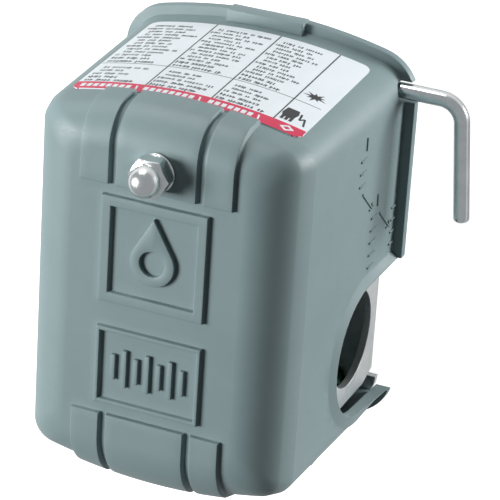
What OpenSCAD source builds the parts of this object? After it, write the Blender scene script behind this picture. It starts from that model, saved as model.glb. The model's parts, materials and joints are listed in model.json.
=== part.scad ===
// Water-pump pressure switch with a low-pressure cut-off lever, built as separate pieces.
// Origin: middle of the pressure port's mouth. +Z runs up through the switch to the cap nut,
// -Y is the label side, and the cut-off lever leaves on the -X side.

/* [Pressure port] */
// Across flats of the hexagon round the port
port_hex = 22.2; // [20:0.2:25]
// Wall radius of the 1/4 inch pipe thread
port_r = 5.6; // [5.4:0.1:6]
// Width of the square flange under the base
flange_w = 44; // [42:1:46]
// Height of the flange and its hexagon together
flange_h = 12.9; // [12.5:0.1:13.2]

/* [Base bracket] */
// Steel thickness of the bracket
plate_t = 1.6; // [1.2:0.1:1.8]
// Outside half-width over the two conduit ears
ear_x = 28.6; // [28:0.1:28.8]
// Radius of the conduit holes (half of 22.2 mm, for a 1/2 inch connector)
conduit_r = 11.1; // [10.5:0.1:11.3]
// Y position of the conduit holes
conduit_y = 32.7; // [32:0.1:33.4]
// Height of the conduit holes
conduit_z = 30.9; // [30:0.1:31.5]

/* [Cover] */
// Half-width of the cover's wall at the rim
cover_hw = 31.8; // [31.6:0.1:32.2]
// Y of the front wall's middle at the rim
cover_front = -30.3; // [-30.6:0.1:-30]
// Y of the rear wall's middle at the rim
cover_rear = 60; // [59.6:0.1:60.4]
// Height of the cover's flat top above its rim
cover_h = 58.2; // [57:0.1:60]
// Wall thickness
wall = 1.6; // [1.4:0.1:1.6]
// Height of the raised pads and frames on the top
pad_h = 1; // [0.8:0.1:1.2]

/* [Cut-off lever] */
// Radius of the bent rod
rod_r = 1.75; // [1.6:0.05:1.8]
// Reach of the arm past the shaft's axis
arm_reach = 27.6; // [24:0.2:30]

/* [Hidden] */
$fn = 48;
THIN = 0.02;

// Heights of the stack, from the port's mouth up
gasket_t = 1.5;
base_z = flange_h + gasket_t;
base_top = base_z + plate_t;
rim_z = base_top + 0.5;
top_z = rim_z + cover_h;
face_z = top_z + pad_h;

// Cover
bow_r = 111;
corner_r = 8;
draft_x = 0.0406;
draft_y = 0.0344;
side_fillet = 10.5;
front_fillet = 7.5;
rear_fillet = 11.5;
lip_out = 2.3;
lip_h = 2;
rear_lip = 0.2;
arch_r = 15.4;
arch_y = 34;
arch_z = 30.9;
arch_foot = 20.4;
arch_spread_front = 2;
arch_spread_rear = 0.7;
flare_over = 0.6;
flare_r = 19.3;
flare_sink = 0.5;
flare_slope = 1 / 3;
frame_hw = 11.9;
frame_y0 = -9.9;
frame_y1 = 14;
plate_y0 = 19.85;
plate_y1 = 37.7;
pad_front_y = -12.3;
pad_rear_y = 40.3;
label_hw = 25.5;
label_z0 = 23.4;
label_z1 = 63.6;
label_t = 0.2;

// Threads: number 8 studs and screws
stud_r = 2.08;
run_gap = 0.05;
range_y = -17.4;
diff_x = 12.8;

// Actuating lever
pivot_y = 8;
pivot_z = 23;
lever_z = 20.5;
lever_t = 1.6;
lever_hw = 19.5;
lever_nose_hw = 11;
piston_r = 9.5;

// Screws: four under the pressure flange, two green ones for the ground wires
screw_x = 17;
screw_y = 16;
ground_x = 19;
ground_y = 51.5;

// Contact gear
pole_x = [-12.9, -4.3, 4.3, 12.9];
blade_x = 8.6;
block_y0 = 12.5;
block_y1 = 39;
block_z1 = 27;
contact_y = 22.5;
carrier_y = 15.5;
carrier_z = 33;

// Cut-off lever
cut_y = -21.6;
cut_z = 18.1;
bend_r = 5;
arm_x = -44.7;
arm_splay = 5;

// ---- shared shapes ----

// Rounded outline with two gently bowed ends. w is the half-width, yf and yr the end points on
// the Y axis, rc the corner radius.
function bow_corner_y(w, rc) = sqrt(pow(bow_r - rc, 2) - pow(w - rc, 2)) - bow_r;
function end_arc(w, yr, rc) =
    let (cy = yr + bow_corner_y(w, rc), a0 = atan2(cy - yr + bow_r, w - rc))
    concat(
        [for (i = [0:5]) [w - rc + rc * cos(a0 * i / 5), cy + rc * sin(a0 * i / 5)]],
        [for (i = [1:7]) let (a = a0 + (180 - 2 * a0) * i / 8)
            [bow_r * cos(a), yr - bow_r + bow_r * sin(a)]],
        [for (i = [5:-1:0]) [-(w - rc + rc * cos(a0 * i / 5)), cy + rc * sin(a0 * i / 5)]]);
function outline(w, yf, yr, rc) = concat(
    end_arc(w, yr, rc),
    [for (p = end_arc(w, -yf, rc)) [-p[0], -p[1]]]);

// How far a fillet of radius r has drawn in at a drop d below the top
function drawn_in(r, d) = d >= r ? 0 : r - sqrt(r * r - (r - d) * (r - d));

// One level of the cover's body, h above the rim, moved inward by t
module cover_level(h, t) {
    d = cover_h - t - h;
    translate([0, 0, rim_z + h - THIN])
        linear_extrude(THIN)
            polygon(outline(
                cover_hw - t - draft_x * h - drawn_in(side_fillet - t, d),
                cover_front + t + draft_y * h + drawn_in(front_fillet - t, d),
                cover_rear - t - draft_y * h - drawn_in(rear_fillet - t, d),
                corner_r - t - 3 * h / cover_h));
}

// The cover's whole form, moved inward by t and reaching to foot below the rim
module cover_form(t, foot) {
    r = rear_fillet - t;
    hull() {
        cover_level(-foot, t);
        for (a = [0:15:90]) cover_level(cover_h - t - r * (1 - cos(a)), t);
    }
}

module hex_prism(flats, h) { cylinder(h = h, r = flats / 2 / cos(30), $fn = 6); }

module rounded_plate(w, l, h, r) {
    linear_extrude(h) union() {
        square([w - 2 * r, l], center = true);
        square([w, l - 2 * r], center = true);
        for (x = [-1, 1], y = [-1, 1]) translate([x * (w / 2 - r), y * (l / 2 - r)]) circle(r);
    }
}

// A coil spring on the Z axis: r is the middle of the wire's turns, closed at both ends
module coil_spring(r, wire, h, turns, sides = 8, steps = 14) {
    n = turns * steps;
    free = h - 2 * wire - wire * 2;
    function lift(i) = let (u = i / steps)
        wire / 2 + (u < 1 ? wire * u
            : u > turns - 1 ? wire + free + wire * (u - turns + 2)
            : wire + (free + wire) * (u - 1) / (turns - 2));
    function ring(i) = let (a = 360 * i / steps)
        [for (k = [0:sides - 1]) let (b = 360 * k / sides, q = r + wire / 2 * cos(b))
            [q * cos(a), q * sin(a), lift(i) + wire / 2 * sin(b)]];
    points = [for (i = [0:n]) each ring(i)];
    quads = [for (i = [0:n - 1], k = [0:sides - 1]) let (m = (k + 1) % sides)
        [i * sides + k, i * sides + m, (i + 1) * sides + m, (i + 1) * sides + k]];
    polyhedron(points, concat(quads,
        [[for (k = [sides - 1:-1:0]) k]],
        [[for (k = [0:sides - 1]) n * sides + k]]), convexity = 6);
}

// ---- cover ----

// The cover's wall flares out around each arch, leaning with the wall
module arch_flare(side) {
    mirror([side > 0 ? 0 : 1, 0, 0])
        translate([cover_hw - draft_x * (arch_z - rim_z), arch_y, arch_z])
            rotate([0, 90 - atan(draft_x), 0]) translate([0, 0, -flare_sink])
                cylinder(h = flare_slope * (flare_r - arch_r + flare_over), r1 = flare_r,
                    r2 = arch_r - flare_over, $fn = 96);
}

module arch_cut(side) {
    mirror([side > 0 ? 0 : 1, 0, 0])
        translate([cover_hw - 6, arch_y, arch_z]) rotate([0, 90, 0]) {
            cylinder(h = 12, r = arch_r, $fn = 96);
            linear_extrude(12) polygon([[0, -arch_r], [0, arch_r],
                [arch_foot, arch_r + arch_spread_rear], [arch_foot, -arch_r - arch_spread_front]]);
        }
}

module top_frame(y0, y1, bar) {
    translate([0, 0, top_z - 0.5]) linear_extrude(pad_h + 0.5) difference() {
        translate([-frame_hw, y0]) square([2 * frame_hw, y1 - y0]);
        translate([-frame_hw + bar, y0 + bar]) square([2 * (frame_hw - bar), y1 - y0 - 2 * bar]);
    }
}

// A water-drop emblem in the square frame
module drop_emblem() {
    translate([0, (frame_y0 + frame_y1) / 2 + 1.2, top_z - 0.5]) linear_extrude(pad_h + 0.5)
        difference() {
            union() {
                circle(5);
                polygon([[5 * cos(30), -5 * sin(30)], [0, -10], [-5 * cos(30), -5 * sin(30)]]);
            }
            circle(2.8);
        }
}

module gauge_ribs() {
    for (i = [-3:3])
        translate([i * 2.6 - 0.45, plate_y0 + 4.6, top_z - 0.5])
            cube([0.9, plate_y1 - plate_y0 - (i % 2 == 0 ? 9.2 : 12), pad_h + 0.2]);
}

module pads() {
    intersection() {
        cover_form(-pad_h, 0);
        for (x = [[-17, -10.44], [-8.96, 8.96], [10.44, 17]]) {
            translate([x[0], cover_front - 4, label_z1 + 0.3])
                cube([x[1] - x[0], pad_front_y - cover_front + 4, 30]);
            translate([x[0], pad_rear_y, label_z1 + 0.3])
                cube([x[1] - x[0], cover_rear - pad_rear_y + 4, 30]);
        }
    }
}

// Ribs inside the cover whose feet stand on the base bracket
module stop_ribs() {
    for (x = [-31.2, 25.2], y = [-16, 52])
        translate([x, y, base_top]) cube([6, 1.4, 50]);
}

module cover() {
    color([0.53, 0.59, 0.59]) {
        difference() {
            union() {
                cover_form(0, 0);
                pads();
                top_frame(frame_y0, frame_y1, 2.3);
                top_frame(plate_y0, plate_y1, 1);
                drop_emblem();
                gauge_ribs();
                translate([0, 0, rim_z]) linear_extrude(lip_h)
                    polygon(outline(cover_hw + lip_out, cover_front - lip_out,
                        cover_rear + rear_lip, corner_r + lip_out));
                for (side = [-1, 1]) arch_flare(side);
                translate([-8, cover_front - lip_out, rim_z]) cube([17.7, 4, 4]);
            }
            cover_form(wall, 1);
            for (side = [-1, 1]) arch_cut(side);
            translate([-cover_hw - 6, cut_y, rim_z + 3.1]) rotate([0, 90, 0]) cylinder(h = 12, r = 2.3);
            translate([-cover_hw - 6, cut_y - 2.3, rim_z - 1]) cube([12, 4.6, 4.1]);
            translate([0, range_y, top_z - 4]) cylinder(h = 8, r = 2.7);
        }
        intersection() {
            stop_ribs();
            cover_form(wall - 0.4, 1);
        }
    }
}

module cover_label() {
    color([0.93, 0.95, 0.96]) intersection() {
        difference() {
            cover_form(-label_t, 0);
            cover_form(0, 1);
        }
        translate([-label_hw, cover_front - 4, label_z0])
            cube([2 * label_hw, 12, label_z1 - label_z0]);
    }
}

module cap_nut() {
    hex = 7.94;
    hex_h = 4.4;
    dome_r = 3.4;
    color([0.8, 0.8, 0.8]) translate([0, range_y, face_z]) difference() {
        union() {
            cylinder(h = 0.7, r = 4.3);
            intersection() {
                translate([0, 0, 0.7]) hex_prism(hex, hex_h - 0.7);
                cylinder(h = hex_h, r1 = 7.6, r2 = 4.2);
            }
            cylinder(h = hex_h + 1, r = dome_r);
            translate([0, 0, hex_h + 1]) sphere(dome_r);
        }
        translate([0, 0, -1]) cylinder(h = 6.4, r = stud_r + run_gap);
    }
}

// ---- base ----

ear_bend = 2.2;
ear_y0 = 16;
ear_y1 = 48;
ear_top = rim_z + 33;
cut_ear_x = [[-27.2, -25.6], [-16.6, -15]];
pivot_ear_x = lever_hw + 0.7;
crank_x = [-24.4, -20.6];

module conduit_ear(side) {
    bend_x = ear_x - ear_bend;
    bend_z = base_z + ear_bend;
    difference() {
        translate([side * (ear_x - plate_t / 2), 0, 0]) rotate([90, 0, 90])
            linear_extrude(plate_t, center = true)
                polygon([[ear_y0, bend_z], [ear_y1 - 1.7, bend_z], [ear_y1, bend_z + 5],
                    [ear_y1, ear_top - 8], [ear_y1 - 8, ear_top], [ear_y0 + 8, ear_top],
                    [ear_y0, ear_top - 8]]);
        translate([side * (ear_x - 3), conduit_y, conduit_z]) rotate([0, 90, 0])
            cylinder(h = 10, r = conduit_r, center = true, $fn = 96);
    }
    translate([0, ear_y0, 0]) rotate([-90, 0, 0]) linear_extrude(ear_y1 - 1.7 - ear_y0)
        intersection() {
            translate([side * bend_x, -bend_z]) difference() {
                circle(ear_bend);
                circle(ear_bend - plate_t);
            }
            translate([side > 0 ? bend_x : -bend_x - ear_bend, -bend_z]) square(ear_bend);
        }
}

// An upright tab of the bracket with a pin hole along X
module tab(x, y0, y1, z, hole_y, hole_z, hole_r) {
    difference() {
        translate([x[0], y0, base_z]) cube([x[1] - x[0], y1 - y0, z - base_z]);
        translate([x[0] - 1, hole_y, hole_z]) rotate([0, 90, 0])
            cylinder(h = x[1] - x[0] + 2, r = hole_r);
    }
}

module base_bracket() {
    color([0.75, 0.76, 0.74]) {
        difference() {
            translate([0, 0, base_z]) linear_extrude(plate_t)
                polygon(outline(cover_hw - wall - 0.6, cover_front + wall + 0.6,
                    cover_rear - wall - 0.6, corner_r - wall));
            for (side = [-1, 1])
                translate([side > 0 ? ear_x - ear_bend : -ear_x - 5, ear_y0 - 0.6, base_z - 1])
                    cube([ear_bend + 5, ear_y1 - ear_y0 + 1.2, plate_t + 2]);
            translate([0, 0, base_z - 1]) cylinder(h = plate_t + 2, r = piston_r + 0.3);
            for (x = [[crank_x[0] - 0.6, crank_x[1] + 0.6], [cut_ear_x[1][1], cut_ear_x[1][1] + 1.4]])
                translate([x[0], cut_y - 4, base_z - 1]) cube([x[1] - x[0], 8, plate_t + 2]);
            for (p = [[0, range_y], [diff_x, 0]])
                translate([p[0], p[1], base_z - 1]) cylinder(h = plate_t + 2, r = stud_r + run_gap);
            for (x = [-screw_x, screw_x], y = [-screw_y, screw_y])
                translate([x, y, base_z - 1]) cylinder(h = plate_t + 2, r = stud_r + run_gap);
            for (x = [-blade_x, blade_x])
                translate([x, 30, base_z - 1]) cylinder(h = plate_t + 2, r = 1.65);
            for (x = [-ground_x, ground_x])
                translate([x, ground_y, base_z - 1]) cylinder(h = plate_t + 2, r = stud_r + run_gap);
        }
        for (side = [-1, 1]) {
            conduit_ear(side);
            tab(side > 0 ? [pivot_ear_x, pivot_ear_x + plate_t]
                    : [-pivot_ear_x - plate_t, -pivot_ear_x],
                4.6, 11.4, pivot_z + 3.4, pivot_y, pivot_z, 1.55);
        }
        for (x = cut_ear_x) tab(x, cut_y - 2.8, cut_y + 2.8, cut_z + 3.6, cut_y, cut_z, rod_r + run_gap);
    }
}

module pressure_flange() {
    color([0.68, 0.69, 0.69]) difference() {
        union() {
            hex_prism(port_hex, 9);
            translate([0, 0, 8]) rounded_plate(flange_w, flange_w, flange_h - 8, 6);
        }
        translate([0, 0, -1]) cylinder(h = flange_h + 2, r = port_r);
        translate([0, 0, flange_h - 1.4]) cylinder(h = 3, r = 12);
        for (x = [-screw_x, screw_x], y = [-screw_y, screw_y])
            translate([x, y, 0]) cylinder(h = 20, r = 2.3);
    }
}

module diaphragm() {
    color([0.1, 0.1, 0.1]) translate([0, 0, flange_h]) difference() {
        rounded_plate(flange_w, flange_w, gasket_t, 6);
        for (x = [-screw_x, screw_x], y = [-screw_y, screw_y])
            translate([x, y, -1]) cylinder(h = 5, r = 2.3);
    }
}

module pan_screw(shank_r, shank_h, head_r, head_h) {
    translate([0, 0, -shank_h]) cylinder(h = shank_h, r = shank_r);
    difference() {
        union() {
            cylinder(h = head_h * 0.6, r = head_r);
            translate([0, 0, head_h * 0.6]) cylinder(h = head_h * 0.4, r1 = head_r, r2 = head_r * 0.8);
        }
        translate([-head_r - 1, -0.5, head_h * 0.5]) cube([2 * head_r + 2, 1, head_h]);
    }
}

module flange_screws() {
    color([0.7, 0.7, 0.7]) for (x = [-screw_x, screw_x], y = [-screw_y, screw_y])
        translate([x, y, 8]) rotate([180, 0, 0]) pan_screw(stud_r, base_top - 8 - 0.1, 3.9, 2.6);
}

module piston() {
    color([0.92, 0.91, 0.86]) {
        translate([0, 0, base_z]) cylinder(h = 3.1, r = piston_r);
        translate([0, 0, base_z + 3.1]) cylinder(h = lever_z - base_z - 3.1, r1 = 4, r2 = 1.5);
    }
}

// ---- pressure mechanism ----

module actuating_lever() {
    flange_y0 = -6;
    rear = 11.5;
    color([0.72, 0.72, 0.68]) difference() {
        union() {
            translate([-lever_nose_hw, -26, lever_z]) cube([2 * lever_nose_hw, 22, lever_t]);
            translate([-lever_hw, flange_y0, lever_z]) cube([2 * lever_hw, rear - flange_y0, lever_t]);
            for (x = [-lever_hw, lever_hw - lever_t])
                translate([x, flange_y0, lever_z]) cube([lever_t, rear - flange_y0, 5.8]);
            translate([-11, rear - lever_t, lever_z]) cube([22, lever_t, 6]);
            translate([0, range_y, lever_z]) cylinder(h = lever_t + 1.4, r = 5.2);
        }
        translate([0, range_y, lever_z - 1]) cylinder(h = 6, r = 3.4);
        translate([diff_x, 0, lever_z - 1]) cylinder(h = 6, r = 2.9);
        translate([-30, pivot_y, pivot_z]) rotate([0, 90, 0]) cylinder(h = 60, r = 1.55);
    }
}

module lever_pin() {
    color([0.78, 0.78, 0.78]) translate([0, pivot_y, pivot_z]) rotate([0, 90, 0]) {
        cylinder(h = 2 * pivot_ear_x + 2 * plate_t + 1, r = 1.5, center = true);
        for (z = [-pivot_ear_x - plate_t - 1, pivot_ear_x + plate_t + 0.1])
            translate([0, 0, z]) cylinder(h = 0.9, r = 2.5);
    }
}

module stud(x, y, tip) {
    translate([x, y, base_z]) cylinder(h = tip - base_z - 0.8, r = stud_r);
    translate([x, y, tip - 0.8]) cylinder(h = 0.8, r1 = stud_r, r2 = stud_r - 0.6);
    translate([x, y, base_top]) cylinder(h = 2.2, r = 2.9);
}

range_top = 52;
diff_top = 40;

module range_stud() { color([0.8, 0.8, 0.78]) stud(0, range_y, face_z + 4.6); }
module range_spring() {
    color([0.7, 0.7, 0.72]) translate([0, range_y, lever_z + lever_t])
        coil_spring(6.55, 1.9, range_top - lever_z - lever_t, 8);
}
module seat(x, y, z, rim_r, hub_r) {
    translate([x, y, z]) difference() {
        union() {
            cylinder(h = 1.4, r = rim_r);
            translate([0, 0, -2.6]) cylinder(h = 2.7, r = hub_r);
        }
        translate([0, 0, -4]) cylinder(h = 8, r = stud_r + 0.25);
    }
}
module nut(x, y, z, flats, h) {
    translate([x, y, z]) difference() {
        intersection() {
            hex_prism(flats, h);
            cylinder(h = h, r1 = flats / 2 + 0.3 + h, r2 = flats / 2 + 0.3);
        }
        translate([0, 0, -1]) cylinder(h = h + 2, r = stud_r + run_gap);
    }
}
module range_seat() { color([0.78, 0.78, 0.76]) seat(0, range_y, range_top, 8, 5.2); }
module range_nut() { color([0.8, 0.8, 0.78]) nut(0, range_y, range_top + 1.4, 9.5, 5); }

module differential_stud() { color([0.8, 0.8, 0.78]) stud(diff_x, 0, 52); }
module differential_spring() {
    color([0.7, 0.7, 0.72]) translate([diff_x, 0, lever_z + lever_t])
        coil_spring(4, 1.1, diff_top - lever_z - lever_t, 7, 8, 12);
}
module differential_seat() { color([0.78, 0.78, 0.76]) seat(diff_x, 0, diff_top, 4.8, 3.1); }
module differential_nut() { color([0.8, 0.8, 0.78]) nut(diff_x, 0, diff_top + 1.4, 7.94, 4); }

// ---- contact gear ----

block_ear_x = 19.4;
barrier_x = 17.2;

module terminal_block() {
    color([0.09, 0.09, 0.1]) difference() {
        union() {
            translate([-block_ear_x - 2.4, block_y0, base_top])
                cube([2 * block_ear_x + 4.8, 7, block_z1 - base_top]);
            translate([-barrier_x - 0.6, block_y0, base_top])
                cube([2 * barrier_x + 1.2, block_y1 - block_y0, block_z1 - base_top]);
            for (x = [-block_ear_x - 2.4, block_ear_x])
                translate([x, block_y0, block_z1 - 1]) cube([2.4, 6.2, 10]);
            for (i = [-2:2])
                translate([i * barrier_x / 2 - 0.6, 27.5, block_z1 - 1]) cube([1.2, block_y1 - 27.5, 7]);
        }
        translate([-30, carrier_y, carrier_z]) rotate([0, 90, 0]) cylinder(h = 60, r = 1.25);
        for (x = pole_x) translate([x, 34, block_z1 - 7]) cylinder(h = 10, r = 2);
        for (x = [-blade_x, blade_x]) translate([x, 30, base_top - 1]) cylinder(h = 7, r = 1.65);
    }
}
module block_rivets() {
    color([0.75, 0.75, 0.73]) for (x = [-blade_x, blade_x]) translate([x, 30, base_z]) {
        cylinder(h = plate_t + 4, r = 1.6);
        translate([0, 0, -1]) cylinder(h = 1, r1 = 2.2, r2 = 3);
    }
}
module terminal_plates() {
    color([0.8, 0.66, 0.36]) for (x = pole_x) difference() {
        translate([x - 3.3, 20, block_z1]) cube([6.6, 18.4, 1]);
        translate([x, 34, block_z1 - 1]) cylinder(h = 3, r = 2.1);
    }
}
module fixed_contacts() {
    color([0.85, 0.85, 0.86]) for (x = pole_x)
        translate([x, contact_y, block_z1 + 1]) cylinder(h = 0.9, r = 2);
}
module terminal_screws() {
    color([0.78, 0.78, 0.76]) for (x = pole_x)
        translate([x, 34, block_z1 + 1]) pan_screw(1.9, 7.4, 3.2, 2.6);
}

button_z = block_z1 + 1.9;
blade_z = button_z + 0.9;
bar_z = 34.5;

module contact_carrier() {
    color([0.13, 0.13, 0.14]) difference() {
        union() {
            translate([-17.5, 20, bar_z]) cube([35, 5.2, 4]);
            translate([-17.5, 8.6, 35.4]) cube([35, 4.2, 3.1]);
            for (x = [-18.3, 16.1]) translate([x, 8.6, 30.6]) cube([2.2, 16.6, 7.9]);
            for (x = [-blade_x, blade_x]) translate([x, contact_y, button_z - 0.4]) {
                cylinder(h = bar_z - button_z + 1, r = 1.2);
                cylinder(h = 1.2, r = 2.2);
            }
        }
        translate([-30, carrier_y, carrier_z]) rotate([0, 90, 0]) cylinder(h = 60, r = 1.25);
    }
}
module carrier_pin() {
    color([0.78, 0.78, 0.78]) translate([0, carrier_y, carrier_z]) rotate([0, 90, 0])
        cylinder(h = 2 * block_ear_x + 6, r = 1.2, center = true);
}
module contact_blades() {
    color([0.78, 0.5, 0.3]) for (x = [-blade_x, blade_x]) difference() {
        translate([x - 6.6, contact_y - 2, blade_z]) cube([13.2, 4, 0.7]);
        translate([x, contact_y, blade_z - 1]) cylinder(h = 3, r = 1.5);
    }
}
module moving_buttons() {
    color([0.85, 0.85, 0.86]) for (x = pole_x)
        translate([x, contact_y, button_z]) cylinder(h = 0.9, r = 2);
}
module contact_springs() {
    color([0.7, 0.7, 0.72]) for (x = [-blade_x, blade_x])
        translate([x, contact_y, blade_z + 0.7])
            coil_spring(2.1, 0.5, bar_z - blade_z - 0.7, 5, 6, 10);
}
module toggle_springs() {
    color([0.7, 0.7, 0.72]) for (x = [-7.5, 7.5])
        translate([x, 10.7, lever_z + 6]) coil_spring(1.7, 0.5, 35.4 - lever_z - 6, 11, 6, 10);
}
module ground_screws() {
    color([0.2, 0.5, 0.3]) for (x = [-ground_x, ground_x]) translate([x, ground_y, base_top]) {
        translate([0, 0, -6]) cylinder(h = 6, r = stud_r);
        difference() {
            union() {
                cylinder(h = 0.9, r = 4.3);
                hex_prism(6.35, 3.4);
            }
            translate([-5, -0.5, 2.2]) cube([10, 1, 2]);
        }
    }
}

// ---- cut-off lever ----

module cutoff_lever() {
    shaft_end = cut_ear_x[1][1] + 1.6;
    bend_x = arm_x + bend_r;
    turn = 90 - arm_splay;
    sunk = 0.3;
    arm_len = arm_reach - bend_r + sunk;
    color([0.85, 0.85, 0.84]) translate([0, cut_y, cut_z]) {
        difference() {
            translate([bend_x - sunk, 0, 0]) rotate([0, 90, 0])
                cylinder(h = shaft_end - bend_x + sunk, r = rod_r);
            translate([(crank_x[0] + crank_x[1]) / 2, 0, -5]) cylinder(h = 10, r = 0.75);
        }
        translate([bend_x, bend_r, 0]) {
            rotate([0, 0, -90 - turn]) rotate_extrude(angle = turn)
                translate([bend_r, 0]) circle(rod_r + THIN, $fn = 32);
            rotate([0, 0, -90 - turn]) translate([bend_r, sunk, 0]) rotate([90, 0, 0]) {
                cylinder(h = arm_len - 0.6, r = rod_r);
                translate([0, 0, arm_len - 0.6]) cylinder(h = 0.6, r1 = rod_r, r2 = rod_r - 0.5);
            }
        }
    }
}
module cutoff_crank() {
    w = crank_x[1] - crank_x[0];
    color([0.7, 0.7, 0.66]) translate([crank_x[0], cut_y, cut_z]) difference() {
        union() {
            rotate([0, 90, 0]) cylinder(h = w, r = 3.1);
            translate([0, 0, 0.3]) cube([w, 12.5, 2.6]);
            translate([0, 12.5, 1.6]) rotate([0, 90, 0]) cylinder(h = w, r = 1.3);
        }
        translate([-1, 0, 0]) rotate([0, 90, 0]) cylinder(h = w + 2, r = rod_r + run_gap);
        translate([w / 2, 0, -5]) cylinder(h = 10, r = 0.75);
    }
}
module crank_pin() {
    color([0.6, 0.6, 0.6]) translate([(crank_x[0] + crank_x[1]) / 2, cut_y, cut_z - 3.05])
        cylinder(h = 6.1, r = 0.7);
}
module cutoff_clip() {
    color([0.35, 0.35, 0.36]) translate([cut_ear_x[1][1] + 0.2, cut_y, cut_z]) rotate([0, 90, 0])
        difference() {
            cylinder(h = 0.7, r = 3.1);
            translate([0, 0, -1]) cylinder(h = 3, r = rod_r + run_gap);
            translate([0.9, -1.1, -1]) cube([5, 2.2, 3]);
        }
}

cover();
cover_label();
cap_nut();
base_bracket();
pressure_flange();
diaphragm();
flange_screws();
piston();
actuating_lever();
lever_pin();
range_stud();
range_spring();
range_seat();
range_nut();
differential_stud();
differential_spring();
differential_seat();
differential_nut();
terminal_block();
block_rivets();
terminal_plates();
fixed_contacts();
terminal_screws();
contact_carrier();
carrier_pin();
contact_blades();
moving_buttons();
contact_springs();
toggle_springs();
ground_screws();
cutoff_lever();
cutoff_crank();
crank_pin();
cutoff_clip();
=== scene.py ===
import bpy, bmesh, json, math, random
from mathutils import Matrix, Vector

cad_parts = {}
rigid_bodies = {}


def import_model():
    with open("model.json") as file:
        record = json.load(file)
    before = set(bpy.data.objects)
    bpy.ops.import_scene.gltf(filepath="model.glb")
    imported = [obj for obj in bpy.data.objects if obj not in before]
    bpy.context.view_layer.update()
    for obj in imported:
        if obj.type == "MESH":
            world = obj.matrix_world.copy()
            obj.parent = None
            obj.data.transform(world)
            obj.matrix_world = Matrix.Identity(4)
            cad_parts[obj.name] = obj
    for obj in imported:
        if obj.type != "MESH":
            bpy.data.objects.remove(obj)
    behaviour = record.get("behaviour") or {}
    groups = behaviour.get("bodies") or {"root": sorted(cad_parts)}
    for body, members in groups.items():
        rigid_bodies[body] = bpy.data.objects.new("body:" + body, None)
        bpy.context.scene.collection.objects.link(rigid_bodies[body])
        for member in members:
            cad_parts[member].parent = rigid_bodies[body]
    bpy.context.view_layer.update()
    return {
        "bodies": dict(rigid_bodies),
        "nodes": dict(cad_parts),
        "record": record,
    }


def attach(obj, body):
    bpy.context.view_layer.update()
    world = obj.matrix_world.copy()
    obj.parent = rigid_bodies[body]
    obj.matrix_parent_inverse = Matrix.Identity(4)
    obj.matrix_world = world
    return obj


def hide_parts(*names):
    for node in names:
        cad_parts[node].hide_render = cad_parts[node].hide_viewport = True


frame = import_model()
MM = 0.001

# ---------------------------------------------------------------- sizes from part.scad, in mm
RIM, COVER_H, TOP, PAD_H = 16.5, 58.2, 74.7, 1.0
HW, FRONT, REAR, WALL = 31.8, -30.3, 60.0, 1.6
BOW, CORNER, DRAFT_X, DRAFT_Y = 111.0, 8.0, 0.0406, 0.0344
SIDE_F, FRONT_F, REAR_F = 10.5, 7.5, 11.5
LIP_OUT, LIP_H, REAR_LIP = 2.3, 2.0, 0.2
ARCH_R, ARCH_Y, ARCH_Z, FLARE = 15.4, 34.0, 30.9, 2.4
FRAME_HW, FRAME_Y0, FRAME_Y1, FRAME_BAR = 11.9, -9.9, 14.0, 2.3
PLATE_Y0, PLATE_Y1, PLATE_BAR = 19.85, 37.7, 1.0
PADS = [(-17.0, -10.44), (-8.96, 8.96), (10.44, 17.0)]
PAD_FRONT_Y, PAD_REAR_Y, PAD_Z = -12.3, 40.3, 63.9
LABEL_HW, LABEL_Z0, LABEL_Z1, LABEL_T = 25.5, 23.4, 63.6, 0.2
RANGE_Y, DIFF_X = -17.4, 12.8
CUT_Y, CUT_Z, ROD_R, BEND_R, ARM_X, ARM_REACH, ARM_SPLAY = -21.6, 18.1, 1.75, 5.0, -44.7, 27.6, 5.0
COLUMN_X = 17.5
STOP_X0, STOP_X1, STOP_YS, STOP_T, STOP_H = 25.2, 29.4, (-16.0, 52.0), 1.4, 36
STUD_HOLE_R, ROD_HOLE_Z, ROD_HOLE_R = 2.7, 3.1, 2.3
NOSE_X0, NOSE_X1, NOSE_SIZE = -8, 9.7, 4
DROP_R, DROP_HOLE, DROP_UP = 5.0, 2.8, 1.2
RIB_PITCH, RIB_HW, RIB_LONG, RIB_SHORT = 2.6, 0.5, 4.6, 6.0
LEVER_TOP, RANGE_SEAT_Z, DIFF_SEAT_Z, TOGGLE_Z, CONTACT_Z = 22.1, 52, 40, (26.5, 35.4), (30.5, 34.5)
TOGGLE_X, TOGGLE_Y, BLADE_X, BLADE_Y = 7.5, 10.7, 8.6, 22.5
STUD_Z0, RANGE_STUD_Z1, DIFF_STUD_Z1 = 14.4, 80.3, 52


# ---------------------------------------------------------------- materials
def tree(name):
    m = bpy.data.materials.new(name)
    m.use_nodes = True
    nt = m.node_tree
    return m, nt, nt.nodes["Principled BSDF"]


def noise(nt, coords, scale, detail=3.0, rough=0.55, stretch=(1, 1, 1)):
    mp = nt.nodes.new("ShaderNodeMapping")
    mp.inputs["Scale"].default_value = stretch
    nt.links.new(coords, mp.inputs["Vector"])
    n = nt.nodes.new("ShaderNodeTexNoise")
    n.inputs["Scale"].default_value = scale
    n.inputs["Detail"].default_value = detail
    n.inputs["Roughness"].default_value = rough
    nt.links.new(mp.outputs["Vector"], n.inputs["Vector"])
    return n.outputs["Fac"]


def remap(nt, value, lo, hi, start=0.3, end=0.7):
    r = nt.nodes.new("ShaderNodeMapRange")
    for key, v in (("From Min", start), ("From Max", end), ("To Min", lo), ("To Max", hi)):
        r.inputs[key].default_value = v
    nt.links.new(value, r.inputs["Value"])
    return r.outputs["Result"]


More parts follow.
